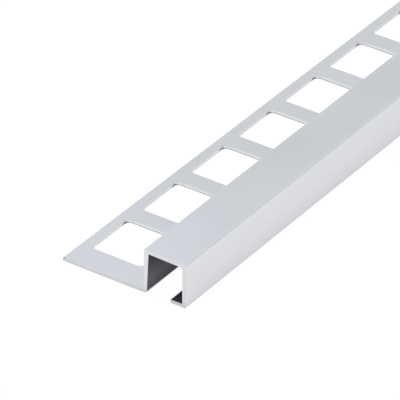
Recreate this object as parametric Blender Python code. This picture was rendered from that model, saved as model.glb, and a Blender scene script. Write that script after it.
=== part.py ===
"""Square-edged tile trim: one length of extruded aluminium with a row of punched holes in its leg.

X runs along the stock, +Y points towards the tiles and +Z is up. The section stands on z = 0 and is
centred on the origin. "Across" is a distance from the visible face towards the tiles.
"""
import math

import bmesh
import bpy
from mathutils import Matrix, Vector

MM = 0.001

# The length of stock
LENGTH = 1000 * MM

# The head: an open box that covers the tile's edge
HEIGHT = 12.5 * MM
HEAD_WIDTH = 12.5 * MM
TOP_WALL = 1.1 * MM
FACE_WALL = 1.1 * MM
WEB_WALL = 1.25 * MM

# The lip turned in along the foot of the visible face
LIP_REACH = 4.5 * MM
LIP_WALL = 1.0 * MM

# The leg that is bedded under the tiles
LEG_REACH = 24 * MM
LEG_WALL = 1.0 * MM

# The radii of the section's corners
EDGE_RADIUS = 0.5 * MM
FOOT_RADIUS = 0.25 * MM
TILE_EDGE_RADIUS = 0.2 * MM
ROOT_RADIUS = 0.3 * MM
HOLLOW_RADIUS = 1.25 * MM
WEB_FOOT_RADIUS = 0.9 * MM
LEG_TIP_RADIUS = 0.4 * MM
LIP_TOP_RADIUS = 0.25 * MM
LIP_FOOT_RADIUS = 0.45 * MM

# The row of punched holes
HOLE_LENGTH = 16.4 * MM
HOLE_WIDTH = 15.5 * MM
HOLE_RADIUS = 1.5 * MM
HOLE_PITCH = 21.9 * MM
ROW_START = 7.7 * MM
OUTER_STRIP = 2.8 * MM

# How finely arcs are divided, and how far the punch stands clear of the leg's faces
SECTION_ARC_STEP = math.radians(15)
HOLE_ARC_STEP = math.radians(22.5)
PUNCH_CLEARANCE = 2 * MM

SILVER = (0.66, 0.67, 0.70, 1.0)
SILVER_ROUGHNESS = 0.35


def clear_scene():
    for item in list(bpy.data.objects):
        bpy.data.objects.remove(item)


def rounded_outline(corners, arc_step):
    """The closed outline through the corners, each given as a point and its radius."""
    points = []
    for index, (corner, radius) in enumerate(corners):
        corner = Vector(corner)
        if radius == 0:
            points.append(corner)
            continue
        to_last = (Vector(corners[index - 1][0]) - corner).normalized()
        to_next = (Vector(corners[(index + 1) % len(corners)][0]) - corner).normalized()
        half_angle = to_last.angle(to_next) / 2
        centre = corner + (to_last + to_next).normalized() * radius / math.sin(half_angle)
        first = corner + to_last * radius / math.tan(half_angle) - centre
        last = corner + to_next * radius / math.tan(half_angle) - centre
        sweep = -first.angle_signed(last)
        steps = math.ceil(abs(sweep) / arc_step - 0.001)
        for step in range(steps + 1):
            points.append(centre + Matrix.Rotation(sweep * step / steps, 2) @ first)
    return points


def section_corners():
    """The corners of the section, as (across, height), from the visible face's foot upwards."""
    inner_face = FACE_WALL
    inner_web = HEAD_WIDTH - WEB_WALL
    ceiling = HEIGHT - TOP_WALL
    leg_edge = HEAD_WIDTH + LEG_REACH
    return [
        ((0, 0), FOOT_RADIUS),
        ((0, HEIGHT), EDGE_RADIUS),
        ((HEAD_WIDTH, HEIGHT), TILE_EDGE_RADIUS),
        ((HEAD_WIDTH, LEG_WALL), ROOT_RADIUS),
        ((leg_edge, LEG_WALL), TILE_EDGE_RADIUS),
        ((leg_edge, 0), LEG_TIP_RADIUS),
        ((inner_web, 0), WEB_FOOT_RADIUS),
        ((inner_web, ceiling), 0),
        ((inner_face, ceiling), HOLLOW_RADIUS),
        ((inner_face, LIP_WALL), 0),
        ((LIP_REACH, LIP_WALL), LIP_TOP_RADIUS),
        ((LIP_REACH, 0), LIP_FOOT_RADIUS),
    ]


def extruded(name, outline, direction):
    """A closed prism: the outline, as a face, drawn out along the direction."""
    shape = bmesh.new()
    face = shape.faces.new([shape.verts.new(point) for point in outline])
    drawn = bmesh.ops.extrude_face_region(shape, geom=[face])
    moved = [item for item in drawn["geom"] if isinstance(item, bmesh.types.BMVert)]
    bmesh.ops.translate(shape, verts=moved, vec=direction)
    bmesh.ops.recalc_face_normals(shape, faces=shape.faces)
    mesh = bpy.data.meshes.new(name)
    shape.to_mesh(mesh)
    shape.free()
    piece = bpy.data.objects.new(name, mesh)
    bpy.context.scene.collection.objects.link(piece)
    return piece


def across_to_y(across):
    return across - (HEAD_WIDTH + LEG_REACH) / 2


def make_stock():
    """The extrusion as it leaves the die, cut square at both ends."""
    near_end = -LENGTH / 2
    outline = rounded_outline(section_corners(), SECTION_ARC_STEP)
    ring = [(near_end, across_to_y(across), height) for across, height in outline]
    return extruded("trim_profile", ring, (LENGTH, 0, 0))


def hole_count():
    """As many whole holes as fit, with at least the row's start left at the far end."""
    room = LENGTH - 2 * ROW_START - HOLE_LENGTH
    return math.floor(room / HOLE_PITCH) + 1


def make_punch():
    """The tool that cuts the row: one rounded square, repeated at the pitch."""
    low_x = ROW_START - LENGTH / 2
    high_y = across_to_y(HEAD_WIDTH + LEG_REACH - OUTER_STRIP)
    corners = [
        ((low_x, high_y), HOLE_RADIUS),
        ((low_x + HOLE_LENGTH, high_y), HOLE_RADIUS),
        ((low_x + HOLE_LENGTH, high_y - HOLE_WIDTH), HOLE_RADIUS),
        ((low_x, high_y - HOLE_WIDTH), HOLE_RADIUS),
    ]
    ring = [(x, y, -PUNCH_CLEARANCE) for x, y in rounded_outline(corners, HOLE_ARC_STEP)]
    punch = extruded("leg_punch", ring, (0, 0, LEG_WALL + 2 * PUNCH_CLEARANCE))
    row = punch.modifiers.new("row", "ARRAY")
    row.count = hole_count()
    row.use_relative_offset = False
    row.use_constant_offset = True
    row.constant_offset_displace = (HOLE_PITCH, 0, 0)
    punch.hide_render = True
    punch.display_type = "WIRE"
    return punch


def anodised_aluminium():
    material = bpy.data.materials.new("anodised_aluminium")
    material.use_nodes = True
    shader = material.node_tree.nodes["Principled BSDF"]
    shader.inputs["Base Color"].default_value = SILVER
    shader.inputs["Metallic"].default_value = 1.0
    shader.inputs["Roughness"].default_value = SILVER_ROUGHNESS
    return material


def main():
    clear_scene()
    trim = make_stock()
    trim.data.materials.append(anodised_aluminium())
    trim.data.shade_smooth()
    trim.data.set_sharp_from_angle(angle=math.radians(30))
    holes = trim.modifiers.new("punched_holes", "BOOLEAN")
    holes.operation = "DIFFERENCE"
    holes.object = make_punch()


main()
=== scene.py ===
"""Dresses a length of square-edged tile trim: the anodised stock, its punched leg and the stage.

X runs along the stock, +Y points towards the tiles and +Z is up. "Across" is a distance from the
visible face towards the tiles. All sizes are in metres.
"""

import math

import bmesh
import bpy
from bpy.props import FloatProperty, FloatVectorProperty, IntProperty, PointerProperty
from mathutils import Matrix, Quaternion, Vector


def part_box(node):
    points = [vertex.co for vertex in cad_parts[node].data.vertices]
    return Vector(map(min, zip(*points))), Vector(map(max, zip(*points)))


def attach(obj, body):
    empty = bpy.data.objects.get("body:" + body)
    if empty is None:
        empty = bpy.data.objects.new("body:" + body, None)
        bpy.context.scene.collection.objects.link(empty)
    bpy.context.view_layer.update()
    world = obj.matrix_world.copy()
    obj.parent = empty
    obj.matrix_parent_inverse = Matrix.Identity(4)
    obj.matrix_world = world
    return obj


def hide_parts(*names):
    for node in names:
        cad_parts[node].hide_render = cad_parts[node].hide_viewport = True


bl_info = {
    "name": "Square Tile Trim",
    "version": (1, 0, 0),
    "blender": (4, 5, 0),
    "location": "3D View > Sidebar > Tile Trim",
    "description": "Builds a punched, anodised tile trim and a plain studio around it",
    "category": "Add Mesh",
}

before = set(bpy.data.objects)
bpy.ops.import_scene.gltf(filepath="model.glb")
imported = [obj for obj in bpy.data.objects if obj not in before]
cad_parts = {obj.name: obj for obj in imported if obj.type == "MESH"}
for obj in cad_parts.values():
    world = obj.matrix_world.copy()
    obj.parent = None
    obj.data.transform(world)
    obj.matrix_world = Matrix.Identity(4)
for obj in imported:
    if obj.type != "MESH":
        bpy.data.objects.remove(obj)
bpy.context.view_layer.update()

MM = 0.001
NODE = "trim_profile"
TRIM_LOW, TRIM_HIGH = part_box(NODE)

# Places less than CLOSE apart count as one, and corners less than WELD apart are merged
CLOSE = 0.001 * MM
WELD = 0.0001 * MM

# Edges at which the surface turns by more than this stay sharp
SHARP_TURN = math.radians(35)

# How much of its normal along an axis makes a face square to it, and how little makes it parallel
SQUARE = 0.9
PARALLEL = 0.3

# The same for the bevel round a sawn end, and for the rounded foot of the web
END_BEVEL = 0.5
WEB_FOOT = 0.6

# The faces of the trim take their finish from these places in its material list
SKIN, SAWN_END, PUNCHED, HOLLOW = range(4)

# How many marks a metre holds, along X, Y and Z
CLOUDS = (22, 22, 22)
PATCHES = (29, 26, 26)
DRAWN_LINES = (6, 1100, 1100)
HAIRLINES = (14, 5200, 5200)
MATT_GRAIN = (5200, 5200, 5200)
SAW_MARKS = (1, 260, 2600)
SAWN_GRAIN = (4200, 4200, 4200)
PUNCH_MARKS = (3200, 3200, 180)
RAGGED_TEAR = (1500, 1500, 1)
HOLLOW_LINES = (8, 900, 900)
HOLLOW_CLOUDS = (130, 130, 130)

# Where the patches' noise starts, in marks, which sets where they lie along the stock
PATCHES_START = (40.1, 58.4, 51.6)

WHITE = (1, 1, 1)


def millimetres(name, description, value):
    return FloatProperty(
        name=name, description=description, default=value * MM, min=0, precision=5, unit="LENGTH"
    )


def point(name, description, value):
    return FloatVectorProperty(
        name=name, description=description, default=value, size=3, precision=5,
        subtype="TRANSLATION",
    )


def angle(name, description, degrees):
    return FloatProperty(
        name=name, description=description, default=math.radians(degrees), subtype="ANGLE"
    )


def watts(name, description, value):
    return FloatProperty(
        name=name, description=description, default=value, min=0, precision=4, unit="POWER"
    )


def colour(name, description, value):
    return FloatVectorProperty(
        name=name, description=description, default=value, min=0, max=1, size=3, subtype="COLOR"
    )


def share(name, description, value):
    return FloatProperty(
        name=name, description=description, default=value, min=0, max=1, subtype="FACTOR"
    )


def strength(name, description, value):
    return FloatProperty(name=name, description=description, default=value, min=0, precision=3)


class SectionSizes(bpy.types.PropertyGroup):
    """The extruded section."""

    head_width: millimetres("Head width", "From the visible face to the tile's edge", 12.5)
    top_wall: millimetres("Top wall", "Thickness of the top of the head", 1.1)
    top_taper: millimetres("Top taper", "How much thinner the top is by the web than by the face", 0.2)
    face_wall: millimetres("Face wall", "Thickness of the visible face", 1.15)
    face_taper: millimetres("Face taper", "How much thinner the face is at its foot than its top", 0.2)
    web_wall: millimetres("Web wall", "Thickness of the web beside the tiles", 1.22)
    web_taper: millimetres("Web taper", "How much thinner the web is at its foot than its top", 0.3)
    leg_wall: millimetres("Leg wall", "Thickness of the punched leg", 1.0)
    lip_reach: millimetres("Lip reach", "From the visible face to the lip's free edge", 4.5)
    lip_wall: millimetres("Lip wall", "Thickness of the lip at the face's foot", 1.0)
    edge_radius: millimetres("Edge radius", "Rounding of the edge over the visible face", 0.5)
    foot_radius: millimetres("Foot radius", "Rounding of the visible face's foot", 0.25)
    tile_edge_radius: millimetres("Tile edge radius", "Rounding of the edges by the tiles", 0.2)
    root_radius: millimetres("Root radius", "Fillet between the leg and the web", 0.3)
    hollow_radius: millimetres("Hollow radius", "Fillet under the top, behind the face", 0.6)
    web_foot_radius: millimetres("Web foot radius", "Rounding of the web's foot", 0.7)
    leg_tip_radius: millimetres("Leg tip radius", "Rounding under the leg's outer edge", 0.4)
    lip_top_radius: millimetres("Lip top radius", "Rounding over the lip's free edge", 0.25)
    lip_foot_radius: millimetres("Lip foot radius", "Rounding under the lip's free edge", 0.45)
    edge_break: millimetres("Edge break", "Bevel left by brushing the sawn ends", 0.08)


class PunchingSizes(bpy.types.PropertyGroup):
    """The row of holes punched in the leg."""

    hole_length: millimetres("Hole length", "Size of a hole along the stock", 16.4)
    hole_width: millimetres("Hole width", "Size of a hole across the leg", 15.5)
    hole_radius: millimetres("Hole radius", "Rounding of the holes' corners", 1.5)
    pitch: millimetres("Pitch", "From one hole to the next", 21.9)
    row_start: millimetres("Row start", "Plain margin before the first hole", 7.7)
    outer_strip: millimetres("Outer strip", "Left between the holes and the leg's edge", 2.8)
    roll_over: millimetres("Roll-over", "Rounding that the punch draws into the upper rim", 0.08)


class SkinFinish(bpy.types.PropertyGroup):
    """The anodised skin."""

    silver: colour("Silver", "The clean skin", (0.615, 0.616, 0.647))
    clouded: colour("Clouded silver", "The skin where its film is thicker", (0.597, 0.610, 0.628))
    roughness: share("Roughness", "Roughness of the skin", 0.34)
    relief: millimetres("Relief", "Depth of the finest lines and the grain", 0.002)
    clouding: strength("Clouding", "How sharply the two silvers part", 1.6)
    patches: strength("Patches", "How strongly the soft patches show", 0.16)
    lines: strength("Drawn lines", "How strongly the die's lines show", 0.05)
    hairlines: strength("Hairlines", "How strongly the finest lines show", 0.02)
    face_strip: millimetres("Face strip", "How far in from its plane the face's tone reaches", 1.1)
    off_face: strength("Off the face", "How much lighter the skin is away from the face", 0.007)
    # Painted light on the lower part of the visible face
    foot_light: strength("Foot light", "How much lighter the visible face is at its foot", 0.03)
    face_margin: millimetres("Face margin", "Even stretch at the top and the foot of the face", 2)
    # A painted highlight along the rounded edge over the visible face
    wear: strength("Highlight", "How much lighter the edge over the face is worn", 0.06)
    highlight_depth: millimetres("Highlight depth", "How far down the wear reaches", 0.3)
    # Painted shade: the skin is made darker just above the floor, for the floor's shadow that the
    # metal reflects there
    contact_shade: strength("Contact shade", "How much darker the skin is where it stands on the floor", 0.05)
    contact_shade_height: millimetres("Contact shade height", "How high the darkening reaches", 0.8)
    contact_shade_core: millimetres("Contact shade core", "Height below which it shows in full", 0.1)


class SawnFinish(bpy.types.PropertyGroup):
    """The sawn ends."""

    metal: colour("Bare metal", "The metal that the saw has bared", (0.625, 0.625, 0.640))
    roughness: share("Roughness", "Roughness of the sawn metal", 0.42)
    relief: millimetres("Relief", "Depth of the saw's marks", 0.008)
    saw_marks: strength("Saw marks", "How strongly the saw's marks show", 0.07)
    grain: strength("Grain", "How strongly the metal's grain shows", 0.03)
    foot_shade: strength("Foot shade", "How much darker the ends are at floor level", 0.15)
    foot_height: millimetres("Foot height", "How high that reaches", 2.5)
    face_shade: strength("Face shade", "How much darker the ends are on the face's side", 0.04)
    shade_start: millimetres("Shade start", "Distance across at which that begins", 11)
    shade_full: millimetres("Shade full", "Distance across at which it is in full", 9)
    # Painted shade at the leg's tip, where the end turns to the dark colour of the holes' walls
    tip_shade_start: millimetres("Tip shade start", "How far inside the leg's tip the burr begins", 0.3)
    tip_shade_full: millimetres("Tip shade full", "How far on from the tip it is in full", 0.2)
    tip_shade_lean: share("Tip shade lean", "How much of the height above the floor adds to those", 0.5)


class PunchedFinish(bpy.types.PropertyGroup):
    """The holes' walls."""

    burnished: colour("Burnished", "The walls, smoothed by the punch", (0.635, 0.639, 0.650))
    # Torn metal, made dark enough to be painted shade as well: the floor's shadow at the walls' foot
    # and the shade in the corners
    torn_and_shaded: colour("Torn and shaded", "The torn foot of the walls", (0.248, 0.248, 0.256))
    roughness: share("Roughness", "Roughness of the burnished metal", 0.36)
    torn_roughness: share("Torn roughness", "How much rougher the torn metal is", 0.25)
    relief: millimetres("Relief", "Depth of the punch's marks", 0.004)
    punch_marks: strength("Punch marks", "How strongly the punch's marks show", 0.10)
    grain: strength("Grain", "How strongly the metal's grain shows", 0.08)
    side_shade: strength("Side shade", "How much darker the side walls are than the end walls", 0.025)
    end_turn: millimetres("End turn", "How far before an end wall its look begins", 0.9)
    # These heights set where the torn metal and its painted shade lie
    tear_and_shade: millimetres("Tear and shade", "Height of the torn metal at the foot of the end walls", 0.16)
    corner_tear_and_shade: millimetres("Corner tear and shade", "Height of the torn metal where a corner begins", 0.60)
    corner_reach: millimetres("Corner reach", "How far that runs to either side", 1.3)
    corner_core: millimetres("Corner core", "How far it keeps its full height", 0.39)
    corner_shine: share("Corner shine", "How much of the corners' tear is burnished again", 0.1)
    raggedness: millimetres("Raggedness", "How far the tear's upper edge wanders", 0.12)
    tear_edge: millimetres("Tear edge", "Half the height over which the tear fades out", 0.04)


class HollowFinish(bpy.types.PropertyGroup):
    """The inside of the head."""

    # Painted shade: the inside of the hollow head is given this dark colour
    film_and_shade: colour("Film and shade", "Dull film that stays in the hollow head", (0.183, 0.187, 0.206))
    roughness: share("Roughness", "Roughness of the film", 0.5)
    relief: millimetres("Relief", "Depth of the die's lines", 0.006)
    lines: strength("Drawn lines", "How strongly the die's lines show", 0.35)
    clouds: strength("Clouds", "How strongly the film's clouds show", 0.25)
    foot_shade: strength("Foot shade", "How much darker the film is at the foot of the walls", 0.5)
    foot_height: millimetres("Foot height", "How high that reaches", 5)
    lip_light: strength("Lip light", "How much lighter than that the film is over the lip", 1.38)
    lip_fade: millimetres("Lip fade", "How far past the lip's free edge that fades out", 1)
    depth_shade: strength("Depth shade", "How much darker the film is deep in the head", 0.11)
    depth_start: millimetres("Depth start", "Distance from the near end at which that begins", 3)
    depth_full: millimetres("Depth full", "Distance from the near end at which it is in full", 13)


class StageSettings(bpy.types.PropertyGroup):
    """The camera, the floor and the light."""

    azimuth: angle("Azimuth", "Direction of the camera from the aim point, from +X to +Y", -146.936)
    elevation: angle("Elevation", "Height of the camera above the horizon", 32.311)
    roll: angle("Roll", "Turn of the camera about its own axis", 1.6032)
    aim: point("Aim point", "The point in the middle of the picture", (-0.464844, 0.001309, 0.006))
    distance: millimetres("Distance", "From the camera to the aim point", 1076.007)
    lens: FloatProperty(
        name="Focal length", description="Focal length of the camera's lens",
        default=387.055, unit="CAMERA",
    )
    sensor: FloatProperty(
        name="Sensor width", description="Width of the camera's sensor", default=36, unit="CAMERA"
    )
    sight_start: millimetres("Sight start", "Nearest distance that the camera sees", 50)
    sight_end: millimetres("Sight end", "Farthest distance that the camera sees", 20000)
    floor_size: millimetres("Floor size", "Side of the square floor", 6000)
    floor_gap: millimetres("Floor gap", "Keeps the floor's face clear of the trim's", 0.05)
    floor_paint: colour("Floor paint", "Colour of the floor", (0.91, 0.895, 0.89))
    white_share: share("White share", "How much of the floor's look is plain white", 0.98)
    mirrored_share: share("Mirrored share", "The same, as reflections see the floor", 0.5)
    sky: colour("Sky", "Colour of the light from all round", (0.964, 0.989, 1.0))
    overhead_power: watts("Overhead power", "Power of the wide lamp above the trim", 22.8)
    overhead_place: point("Overhead place", "Where the wide lamp hangs", (-1.1, 0.0, 1.2))
    overhead_width: millimetres("Overhead width", "Width of the wide lamp", 2000)
    glint_power: watts("Glint power", "Power of the small lamp that the near end reflects", 0.0044)
    glint_place: point("Glint place", "Where the small lamp hangs", (-0.395, 0.092, 0.12))
    glint_width: millimetres("Glint width", "Width of the small lamp", 100)
    glint_colour: colour("Glint colour", "Colour of the small lamp", (0.88, 0.87, 1.0))


class TrimSettings(bpy.types.PropertyGroup):
    """Everything that a user of the trim would change."""

    section: PointerProperty(type=SectionSizes)
    punching: PointerProperty(type=PunchingSizes)
    skin: PointerProperty(type=SkinFinish)
    sawn: PointerProperty(type=SawnFinish)
    punched: PointerProperty(type=PunchedFinish)
    hollow: PointerProperty(type=HollowFinish)
    stage: PointerProperty(type=StageSettings)
    arc_segments: IntProperty(
        name="Arc segments", description="Faces that make up a quarter circle",
        default=6, min=2, max=12,
    )


class Pin:
    """An output socket. Arithmetic on pins adds the Math nodes that work it out."""

    def __init__(self, nodes, socket):
        self.nodes = nodes
        self.socket = socket

    def __add__(self, other):
        return self.nodes.math("ADD", self, other)

    def __radd__(self, other):
        return self.nodes.math("ADD", other, self)

    def __sub__(self, other):
        return self.nodes.math("SUBTRACT", self, other)

    def __rsub__(self, other):
        return self.nodes.math("SUBTRACT", other, self)

    def __mul__(self, other):
        return self.nodes.math("MULTIPLY", self, other)

    def __rmul__(self, other):
        return self.nodes.math("MULTIPLY", other, self)


class Nodes:
    """The nodes of a material or of the sky. Each one is added by node()."""

    def __init__(self, owner):
        self.owner = owner
        self.owner.use_nodes = True
        self.tree = owner.node_tree

    def fill(self, node, sockets):
        """Sets or links the sockets of a node."""
        for key, value in sockets.items():
            if isinstance(value, Pin):
                self.tree.links.new(value.socket, node.inputs[key])
            else:
                node.inputs[key].default_value = value

    def node(self, kind, settings=None, sockets=None, output=0):
        """Adds a node: first its settings, then the values or links of its sockets."""
        node = self.tree.nodes.new(kind)
        for key, value in (settings or {}).items():
            setattr(node, key, value)
        self.fill(node, sockets or {})
        return Pin(self, node.outputs[output])

    def math(self, operation, *values):
        return self.node("ShaderNodeMath", {"operation": operation}, dict(enumerate(values)))

    def ease(self, value, low, high):
        """Rises smoothly from 0 to 1 as the value goes from low to high."""
        sockets = {"Value": value, "From Min": low, "From Max": high}
        return self.node("ShaderNodeMapRange", {"interpolation_type": "SMOOTHSTEP"}, sockets)

    def place(self):
        """The place in the frame, in metres."""
        return self.node("ShaderNodeTexCoord", output="Object")

    def place_by_axis(self):
        """The place along X, along Y and along Z."""
        split = self.node("ShaderNodeSeparateXYZ", sockets={"Vector": self.place()}).socket.node
        return [Pin(self, socket) for socket in split.outputs]

    def noise(self, per_metre, detail=2.0, roughness=0.5, start=(0, 0, 0)):
        """Noise from -0.5 to 0.5, with so many marks in a metre."""
        stretch = {"Vector": self.place(), "Scale": per_metre, "Location": start}
        marks = self.node("ShaderNodeMapping", sockets=stretch)
        sockets = {"Vector": marks, "Scale": 1.0, "Detail": detail, "Roughness": roughness}
        return self.node("ShaderNodeTexNoise", sockets=sockets) - 0.5

    def blend(self, factor, first, second):
        """A colour between two others."""
        sockets = {"Factor": factor, 6: (*first, 1.0), 7: (*second, 1.0)}
        return self.node("ShaderNodeMix", {"data_type": "RGBA"}, sockets, output=2)

    def shaded(self, tone, level):
        """The colour, made lighter or darker by the level."""
        sockets = {0: tone, "Scale": level}
        return self.node("ShaderNodeVectorMath", {"operation": "SCALE"}, sockets)

    def bump(self, height, distance):
        return self.node("ShaderNodeBump", sockets={"Height": height, "Distance": distance})

    def light_path(self, kind):
        """1 for the rays of one kind, and 0 for all others."""
        return self.node("ShaderNodeLightPath", output=f"Is {kind} Ray")

    def metal(self, tone, roughness, relief):
        """Fills in the material's own shader as bare metal, and gives the material."""
        self.fill(self.tree.nodes["Principled BSDF"], {
            "Base Color": tone,
            "Metallic": 1.0,
            "Roughness": roughness,
            "Normal": relief,
        })
        return self.owner


def across_to_y(across):
    return TRIM_LOW.y + across


def anodised_skin(look, section):
    """The silver skin: drawn lines from the die, a faint clouding and a fine matt grain."""
    skin = Nodes(bpy.data.materials.new("anodised_skin"))
    _, y, z = skin.place_by_axis()
    clouds = skin.noise(CLOUDS, detail=1.0)
    patches = skin.noise(PATCHES, detail=1.0, start=PATCHES_START)
    lines = skin.noise(DRAWN_LINES, detail=3.0, roughness=0.6)
    hairlines = skin.noise(HAIRLINES, roughness=0.6)
    grain = skin.noise(MATT_GRAIN)
    # Painted shade: darker just above the floor, for the reflected shadow of the trim on the floor
    contact_shaded = skin.ease(z, TRIM_LOW.z + look.contact_shade_height, TRIM_LOW.z + look.contact_shade_core)
    on_face = skin.ease(y, across_to_y(look.face_strip), across_to_y(section.edge_radius))
    # Painted highlight: the top of the visible face, along the rounded edge, is made lighter
    highlit = on_face * skin.ease(z, TRIM_HIGH.z - look.highlight_depth, TRIM_HIGH.z)
    # Painted light: the visible face is made lighter towards its foot, as its reflection of the lit
    # floor would make it
    lower = on_face * skin.ease(z, TRIM_HIGH.z - look.face_margin, TRIM_LOW.z + look.face_margin)
    level = 1.0 - contact_shaded * look.contact_shade + highlit * look.wear + lower * look.foot_light
    level = level + (patches * look.patches + look.off_face) * (1.0 - on_face)
    level = level + lines * look.lines + hairlines * look.hairlines
    tone = skin.blend(clouds * look.clouding + 0.5, look.silver, look.clouded)
    roughness = look.roughness + clouds * 0.04 + lines * 0.06 + grain * 0.05
    relief = skin.bump(hairlines * 0.6 + grain * 0.4, look.relief)
    return skin.metal(skin.shaded(tone, level), roughness, relief)


def sawn_end(look, torn_and_shaded):
    """Bare metal at the ends, with the saw's fine marks and painted shade at the leg's tip, in the
    holes' dark wall colour.
    """
    end = Nodes(bpy.data.materials.new("sawn_end"))
    _, y, z = end.place_by_axis()
    marks = end.noise(SAW_MARKS, detail=3.0, roughness=0.6)
    grain = end.noise(SAWN_GRAIN)
    foot = end.ease(z, TRIM_LOW.z + look.foot_height, TRIM_LOW.z)
    face_side = end.ease(y, across_to_y(look.shade_start), across_to_y(look.shade_full))
    # Painted shade: the sawn end turns to the dark wall colour at the leg's tip
    leaning_y = y + z * look.tip_shade_lean
    tip_shade = end.ease(leaning_y, TRIM_HIGH.y - look.tip_shade_start, TRIM_HIGH.y + look.tip_shade_full)
    level = 1.0 - foot * look.foot_shade - face_side * look.face_shade
    level = level + marks * look.saw_marks + grain * look.grain
    tone = end.blend(tip_shade, look.metal, torn_and_shaded)
    roughness = look.roughness + marks * 0.1
    return end.metal(end.shaded(tone, level), roughness, end.bump(marks + grain * 0.3, look.relief))


def punched_wall(look, punching):
    """The holes' walls: smoothed by the punch above, and dark at the foot and where corners begin,
    where the punch tore the metal and painted shade darkens it further.
    """
    wall = Nodes(bpy.data.materials.new("punched_wall"))
    x, _, z = wall.place_by_axis()
    marks = wall.noise(PUNCH_MARKS, roughness=0.6)
    grain = wall.noise(MATT_GRAIN, detail=3.0, roughness=0.7)
    ragged = wall.noise(RAGGED_TEAR)
    half_length = punching.hole_length / 2
    corner_start = punching.hole_length - punching.hole_radius
    along = wall.math("FLOORED_MODULO", x - (TRIM_LOW.x + punching.row_start), punching.pitch)
    from_middle = wall.math("ABSOLUTE", along - half_length)
    from_corner = wall.math("ABSOLUTE", along - corner_start)
    on_end = wall.ease(from_middle, half_length - look.end_turn, half_length)
    in_corner = wall.ease(from_corner, look.corner_reach, look.corner_core)
    # A dark band of torn metal and painted shade at the walls' foot, higher where corners begin
    height = on_end * look.tear_and_shade + in_corner * look.corner_tear_and_shade + ragged * look.raggedness
    torn_and_shaded = wall.ease(height - (z - TRIM_LOW.z), -look.tear_edge, look.tear_edge)
    level = 1.0 - look.side_shade * (1.0 - on_end) + marks * look.punch_marks + grain * look.grain
    tone = wall.blend(torn_and_shaded * (1.0 - in_corner * look.corner_shine), look.burnished, look.torn_and_shaded)
    roughness = look.roughness + torn_and_shaded * look.torn_roughness + grain * 0.1
    relief = wall.bump(marks + grain * (1.0 + torn_and_shaded * 4.0), look.relief)
    return wall.metal(wall.shaded(tone, level), roughness, relief)


def hollow_inside(look, section):
    """The inside of the head: the die's drawn lines, under a dark colour that is painted shade of the
    hollow.
    """
    inside = Nodes(bpy.data.materials.new("hollow_inside"))
    x, y, z = inside.place_by_axis()
    lines = inside.noise(HOLLOW_LINES, detail=3.0, roughness=0.6)
    clouds = inside.noise(HOLLOW_CLOUDS)
    lip_edge = across_to_y(section.lip_reach)
    foot = inside.ease(z, TRIM_LOW.z + look.foot_height, TRIM_LOW.z)
    over_lip = inside.ease(y, lip_edge + look.lip_fade, lip_edge)
    deep = inside.ease(x, TRIM_LOW.x + look.depth_start, TRIM_LOW.x + look.depth_full)
    level = 1.0 + foot * (over_lip * look.lip_light - look.foot_shade) - deep * look.depth_shade
    level = level + lines * look.lines + clouds * look.clouds
    # The dark colour is painted shade of the hollow head
    tone = inside.shaded(look.film_and_shade, level)
    return inside.metal(tone, look.roughness + lines * 0.1, inside.bump(lines, look.relief))


def trim_materials(settings):
    """The finishes, in the order of the faces' places in the list."""
    return [
        anodised_skin(settings.skin, settings.section),
        sawn_end(settings.sawn, settings.punched.torn_and_shaded),
        punched_wall(settings.punched, settings.punching),
        hollow_inside(settings.hollow, settings.section),
    ]


def section_corners(section):
    """The section's corners, from the visible face's foot upwards: across, height and radius."""
    height = TRIM_HIGH.z - TRIM_LOW.z
    leg_edge = TRIM_HIGH.y - TRIM_LOW.y
    inner_web = section.head_width - section.web_wall
    inner_web_foot = inner_web + section.web_taper / 2
    inner_web_top = inner_web - section.web_taper / 2
    inner_face_top = section.face_wall + section.face_taper / 2
    inner_face_foot = section.face_wall - section.face_taper / 2
    ceiling_by_web = height - section.top_wall + section.top_taper / 2
    ceiling_by_face = height - section.top_wall - section.top_taper / 2
    return [
        (0, 0, section.foot_radius),
        (0, height, section.edge_radius),
        (section.head_width, height, section.tile_edge_radius),
        (section.head_width, section.leg_wall, section.root_radius),
        (leg_edge, section.leg_wall, section.tile_edge_radius),
        (leg_edge, 0, section.leg_tip_radius),
        (inner_web_foot, 0, section.web_foot_radius),
        (inner_web_top, ceiling_by_web, 0),
        (inner_face_top, ceiling_by_face, section.hollow_radius),
        (inner_face_foot, section.lip_wall, 0),
        (section.lip_reach, section.lip_wall, section.lip_top_radius),
        (section.lip_reach, 0, section.lip_foot_radius),
    ]


def round_off(shape, geometry, radius, segments, affect="EDGES", offset_type="OFFSET"):
    """Rounds edges or corners with the bevel operator."""
    bmesh.ops.bevel(
        shape, geom=geometry, offset=radius, offset_type=offset_type, affect=affect,
        segments=segments, profile=0.5, material=-1,
    )


def draw_stock(shape, section, arc_segments):
    """One face with the section's outline, rounded corner by corner and drawn out along X."""
    corners = section_corners(section)
    verts = [
        shape.verts.new((TRIM_LOW.x, across_to_y(across), TRIM_LOW.z + up))
        for across, up, _ in corners
    ]
    shape.faces.new(verts)
    radii = [radius for _, _, radius in corners]
    for radius in sorted(set(radii) - {0}):
        alike = [vert for vert, own in zip(verts, radii) if own == radius]
        round_off(shape, alike, radius, arc_segments, "VERTICES", "ABSOLUTE")
    drawn = bmesh.ops.extrude_face_region(shape, geom=shape.faces[:])
    moved = [item for item in drawn["geom"] if isinstance(item, bmesh.types.BMVert)]
    bmesh.ops.translate(shape, verts=moved, vec=(TRIM_HIGH.x - TRIM_LOW.x, 0, 0))
    bmesh.ops.recalc_face_normals(shape, faces=shape.faces)


def hole_starts(punching):
    """Where each hole begins, along X."""
    first = TRIM_LOW.x + punching.row_start
    room = TRIM_HIGH.x - TRIM_LOW.x - 2 * punching.row_start - punching.hole_length
    count = math.floor((room + CLOSE) / punching.pitch) + 1
    return [first + punching.pitch * number for number in range(count)]


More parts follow.
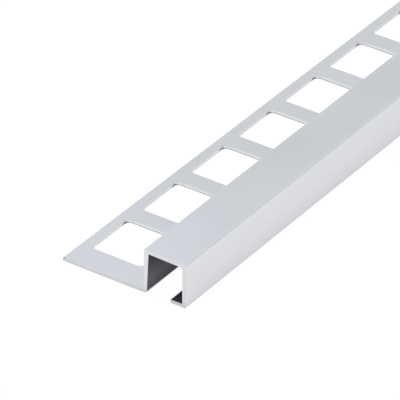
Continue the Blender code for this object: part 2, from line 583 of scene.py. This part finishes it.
def hole_sides(punching):
    """The sides of the holes along Y: the one by the web and the outer one."""
    outer = TRIM_HIGH.y - punching.outer_strip
    return outer - punching.hole_width, outer


def cut_across(shape, point_on_plane, direction):
    geometry = shape.verts[:] + shape.edges[:] + shape.faces[:]
    bmesh.ops.bisect_plane(
        shape, geom=geometry, dist=WELD, plane_co=point_on_plane, plane_no=direction
    )


def cut_hole_outlines(shape, punching):
    """Cuts the stock along all four sides of every hole."""
    for side in hole_sides(punching):
        cut_across(shape, (0, side, 0), (0, 1, 0))
    for start in hole_starts(punching):
        for end in (start, start + punching.hole_length):
            cut_across(shape, (end, 0, 0), (1, 0, 0))


def hole_skins(shape, punching):
    """The leg's upper and lower face in each hole, for one hole after the other."""
    near_y, far_y = hole_sides(punching)
    starts = hole_starts(punching)
    row_length = punching.pitch * len(starts)
    skins = {}
    for face in shape.faces:
        middle = face.calc_center_median()
        along = middle.x - starts[0]
        lies_flat = abs(face.normal.z) > SQUARE
        in_row = near_y < middle.y < far_y and 0 < along < row_length
        if lies_flat and in_row and along % punching.pitch < punching.hole_length:
            skins.setdefault(int(along // punching.pitch), []).append(face)
    return skins.values()


def open_holes(shape, section, punching, arc_segments):
    """Takes out the leg's skins in each hole, walls the hole and rounds its corners."""
    corners = []
    for skins in hole_skins(shape, punching):
        rims = [edge for face in skins for edge in face.edges]
        bmesh.ops.delete(shape, geom=skins, context="FACES_ONLY")
        walls = bmesh.ops.bridge_loops(shape, edges=rims)["faces"]
        corners += [
            edge for edge in {edge for face in walls for edge in face.edges}
            if abs(edge.verts[0].co.z - edge.verts[1].co.z) > section.leg_wall / 2
        ]
    round_off(shape, corners, punching.hole_radius, arc_segments)


def wall_faces(shape, punching):
    """The holes' walls, with the steepest faces of their rolled rims."""
    near_y, far_y = hole_sides(punching)
    walls = []
    for face in shape.faces:
        middle = face.calc_center_median()
        in_row = near_y - CLOSE < middle.y < far_y + CLOSE
        off_ends = TRIM_LOW.x + CLOSE < middle.x < TRIM_HIGH.x - CLOSE
        if abs(face.normal.z) < PARALLEL and in_row and off_ends:
            walls.append(face)
    return walls


def roll_rims(shape, section, punching):
    """Rounds the holes' upper rims, as the punch draws them in."""
    top = TRIM_LOW.z + section.leg_wall
    rims = {
        edge for face in wall_faces(shape, punching) for edge in face.edges
        if all(abs(vert.co.z - top) < CLOSE for vert in edge.verts)
    }
    round_off(shape, list(rims), punching.roll_over, segments=3)


def break_end_edges(shape, section):
    """The small bevel round the sawn ends of the head and of the leg's tip."""
    # The end of the leg between them, and the holes' end walls, have fewer corners than this
    many_corners = 12
    ends = [
        face for face in shape.faces
        if abs(face.normal.x) > SQUARE and len(face.verts) > many_corners
    ]
    edges = {edge for face in ends for edge in face.edges}
    round_off(shape, list(edges), section.edge_break, segments=2)


def assign_finishes(shape, section, punching):
    """Gives each face its place in the material list."""
    ceiling = TRIM_HIGH.z - section.top_wall + section.top_taper / 2
    inner_face = across_to_y(section.face_wall - section.face_taper / 2)
    inner_web = across_to_y(section.head_width - section.web_wall + section.web_taper / 2)
    web_foot = inner_web + section.web_foot_radius
    lip_top = TRIM_LOW.z + section.lip_wall
    walls = set(wall_faces(shape, punching))
    for face in shape.faces:
        middle = face.calc_center_median()
        from_end = min(middle.x - TRIM_LOW.x, TRIM_HIGH.x - middle.x)
        in_height = lip_top - CLOSE < middle.z < ceiling + CLOSE
        in_width = inner_face - CLOSE < middle.y < inner_web + CLOSE
        on_web_foot = inner_web < middle.y < web_foot and face.normal.y < -WEB_FOOT
        if abs(face.normal.x) > END_BEVEL and from_end < section.edge_break:
            face.material_index = SAWN_END
        elif face in walls:
            face.material_index = PUNCHED
        elif (in_height and in_width) or on_web_foot:
            face.material_index = HOLLOW
        else:
            face.material_index = SKIN


class TILE_TRIM_OT_stock(bpy.types.Operator):
    """Builds the trim: the drawn section, its punched leg and its finishes"""

    bl_idname = "tile_trim.stock"
    bl_label = "Build Trim"

    def execute(self, context):
        settings = context.scene.tile_trim
        section, punching = settings.section, settings.punching
        shape = bmesh.new()
        draw_stock(shape, section, settings.arc_segments)
        cut_hole_outlines(shape, punching)
        open_holes(shape, section, punching, settings.arc_segments)
        roll_rims(shape, section, punching)
        break_end_edges(shape, section)
        bmesh.ops.remove_doubles(shape, verts=shape.verts, dist=WELD)
        bmesh.ops.recalc_face_normals(shape, faces=shape.faces)
        assign_finishes(shape, section, punching)
        mesh = bpy.data.meshes.new("tile_trim")
        shape.to_mesh(mesh)
        shape.free()
        mesh.shade_smooth()
        mesh.set_sharp_from_angle(angle=SHARP_TURN)
        for material in trim_materials(settings):
            mesh.materials.append(material)
        trim = bpy.data.objects.new("tile_trim", mesh)
        context.scene.collection.objects.link(trim)
        normals = trim.modifiers.new("flat_faces", "WEIGHTED_NORMAL")
        normals.keep_sharp = True
        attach(trim, "root")
        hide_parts(NODE)
        return {"FINISHED"}


def floor_material(stage):
    """A pale floor that looks white and still takes the trim's soft shadow."""
    floor = Nodes(bpy.data.materials.new("pale_floor"))
    seen = floor.math("MAXIMUM", floor.light_path("Camera"), floor.light_path("Transmission"))
    mirrored = floor.light_path("Glossy")
    whiteness = floor.math("MAXIMUM", seen * stage.white_share, mirrored * stage.mirrored_share)
    white = floor.node("ShaderNodeEmission", sockets={"Color": (*WHITE, 1), "Strength": 1.0})
    paint = floor.node("ShaderNodeBsdfDiffuse", sockets={"Color": (*stage.floor_paint, 1)})
    mixed = floor.node("ShaderNodeMixShader", sockets={0: whiteness, 1: paint, 2: white})
    floor.tree.nodes.remove(floor.tree.nodes["Principled BSDF"])
    floor.fill(floor.tree.nodes["Material Output"], {"Surface": mixed})
    return floor.owner


def make_floor(context, stage):
    """A square floor just under the trim."""
    shape = bmesh.new()
    bmesh.ops.create_grid(shape, x_segments=1, y_segments=1, size=stage.floor_size / 2)
    bmesh.ops.translate(shape, verts=shape.verts, vec=(0, 0, TRIM_LOW.z - stage.floor_gap))
    mesh = bpy.data.meshes.new("floor")
    shape.to_mesh(mesh)
    shape.free()
    floor = bpy.data.objects.new("floor", mesh)
    context.scene.collection.objects.link(floor)
    mesh.materials.append(floor_material(stage))


def make_camera(context, stage):
    """The camera, turned to the aim point from its azimuth and elevation."""
    data = bpy.data.cameras.new("camera")
    data.lens = stage.lens
    data.sensor_width = stage.sensor
    data.clip_start, data.clip_end = stage.sight_start, stage.sight_end
    camera = bpy.data.objects.new("camera", data)
    back = Vector((
        math.cos(stage.azimuth) * math.cos(stage.elevation),
        math.sin(stage.azimuth) * math.cos(stage.elevation),
        math.sin(stage.elevation),
    ))
    camera.rotation_mode = "QUATERNION"
    camera.location = Vector(stage.aim) + back * stage.distance
    turn = Quaternion((0, 0, 1), stage.roll)
    camera.rotation_quaternion = (-back).to_track_quat("-Z", "Y") @ turn
    context.scene.collection.objects.link(camera)
    context.scene.camera = camera


def make_lamp(context, name, place, width, power):
    """A round lamp that shines on the foot of the trim's near end."""
    near_end = Vector((TRIM_LOW.x, 0, TRIM_LOW.z))
    data = bpy.data.lights.new(name, "AREA")
    data.shape = "DISK"
    data.size = width
    data.energy = power
    lamp = bpy.data.objects.new(name, data)
    lamp.location = place
    lamp.visible_camera = False
    lamp.rotation_mode = "QUATERNION"
    lamp.rotation_quaternion = (near_end - Vector(place)).to_track_quat("-Z", "Y")
    context.scene.collection.objects.link(lamp)
    return lamp


def make_lamps(context, stage):
    overhead = make_lamp(
        context, "overhead", stage.overhead_place, stage.overhead_width, stage.overhead_power
    )
    # The metal mirrors the even sky alone; this lamp would show in it as a white patch
    overhead.visible_glossy = False
    glint = make_lamp(context, "glint", stage.glint_place, stage.glint_width, stage.glint_power)
    glint.data.color = stage.glint_colour


def make_sky(context, stage):
    """Even light from all round, seen as white by the camera."""
    sky = Nodes(bpy.data.worlds.new("studio"))
    light = sky.blend(sky.light_path("Camera"), stage.sky, WHITE)
    sky.fill(sky.tree.nodes["Background"], {"Color": light})
    context.scene.world = sky.owner


class TILE_TRIM_OT_stage(bpy.types.Operator):
    """Sets the camera, the pale floor and the soft light"""

    bl_idname = "tile_trim.stage"
    bl_label = "Set Stage"

    def execute(self, context):
        stage = context.scene.tile_trim.stage
        make_camera(context, stage)
        make_floor(context, stage)
        make_sky(context, stage)
        make_lamps(context, stage)
        context.scene.view_settings.view_transform = "Standard"
        return {"FINISHED"}


class TILE_TRIM_PT_panel(bpy.types.Panel):
    """The trim's sizes, finishes and stage"""

    bl_idname = "TILE_TRIM_PT_panel"
    bl_label = "Tile Trim"
    bl_space_type = "VIEW_3D"
    bl_region_type = "UI"
    bl_category = "Tile Trim"

    def draw(self, context):
        settings = context.scene.tile_trim
        layout = self.layout
        for title in ("section", "punching", "skin", "sawn", "punched", "hollow", "stage"):
            group = getattr(settings, title)
            box = layout.box()
            box.label(text=title.capitalize())
            for name in group.__annotations__:
                box.prop(group, name)
        layout.prop(settings, "arc_segments")
        for step in OPERATORS:
            layout.operator(step.bl_idname)


FINISHES = (SkinFinish, SawnFinish, PunchedFinish, HollowFinish)
GROUPS = (SectionSizes, PunchingSizes, *FINISHES, StageSettings, TrimSettings)
OPERATORS = (TILE_TRIM_OT_stage, TILE_TRIM_OT_stock)
CLASSES = (*GROUPS, *OPERATORS, TILE_TRIM_PT_panel)


def register():
    for item in CLASSES:
        bpy.utils.register_class(item)
    bpy.types.Scene.tile_trim = PointerProperty(type=TrimSettings)


def unregister():
    del bpy.types.Scene.tile_trim
    for item in reversed(CLASSES):
        bpy.utils.unregister_class(item)


def main():
    register()
    bpy.ops.tile_trim.stage()
    bpy.ops.tile_trim.stock()


if __name__ == "__main__":
    main()
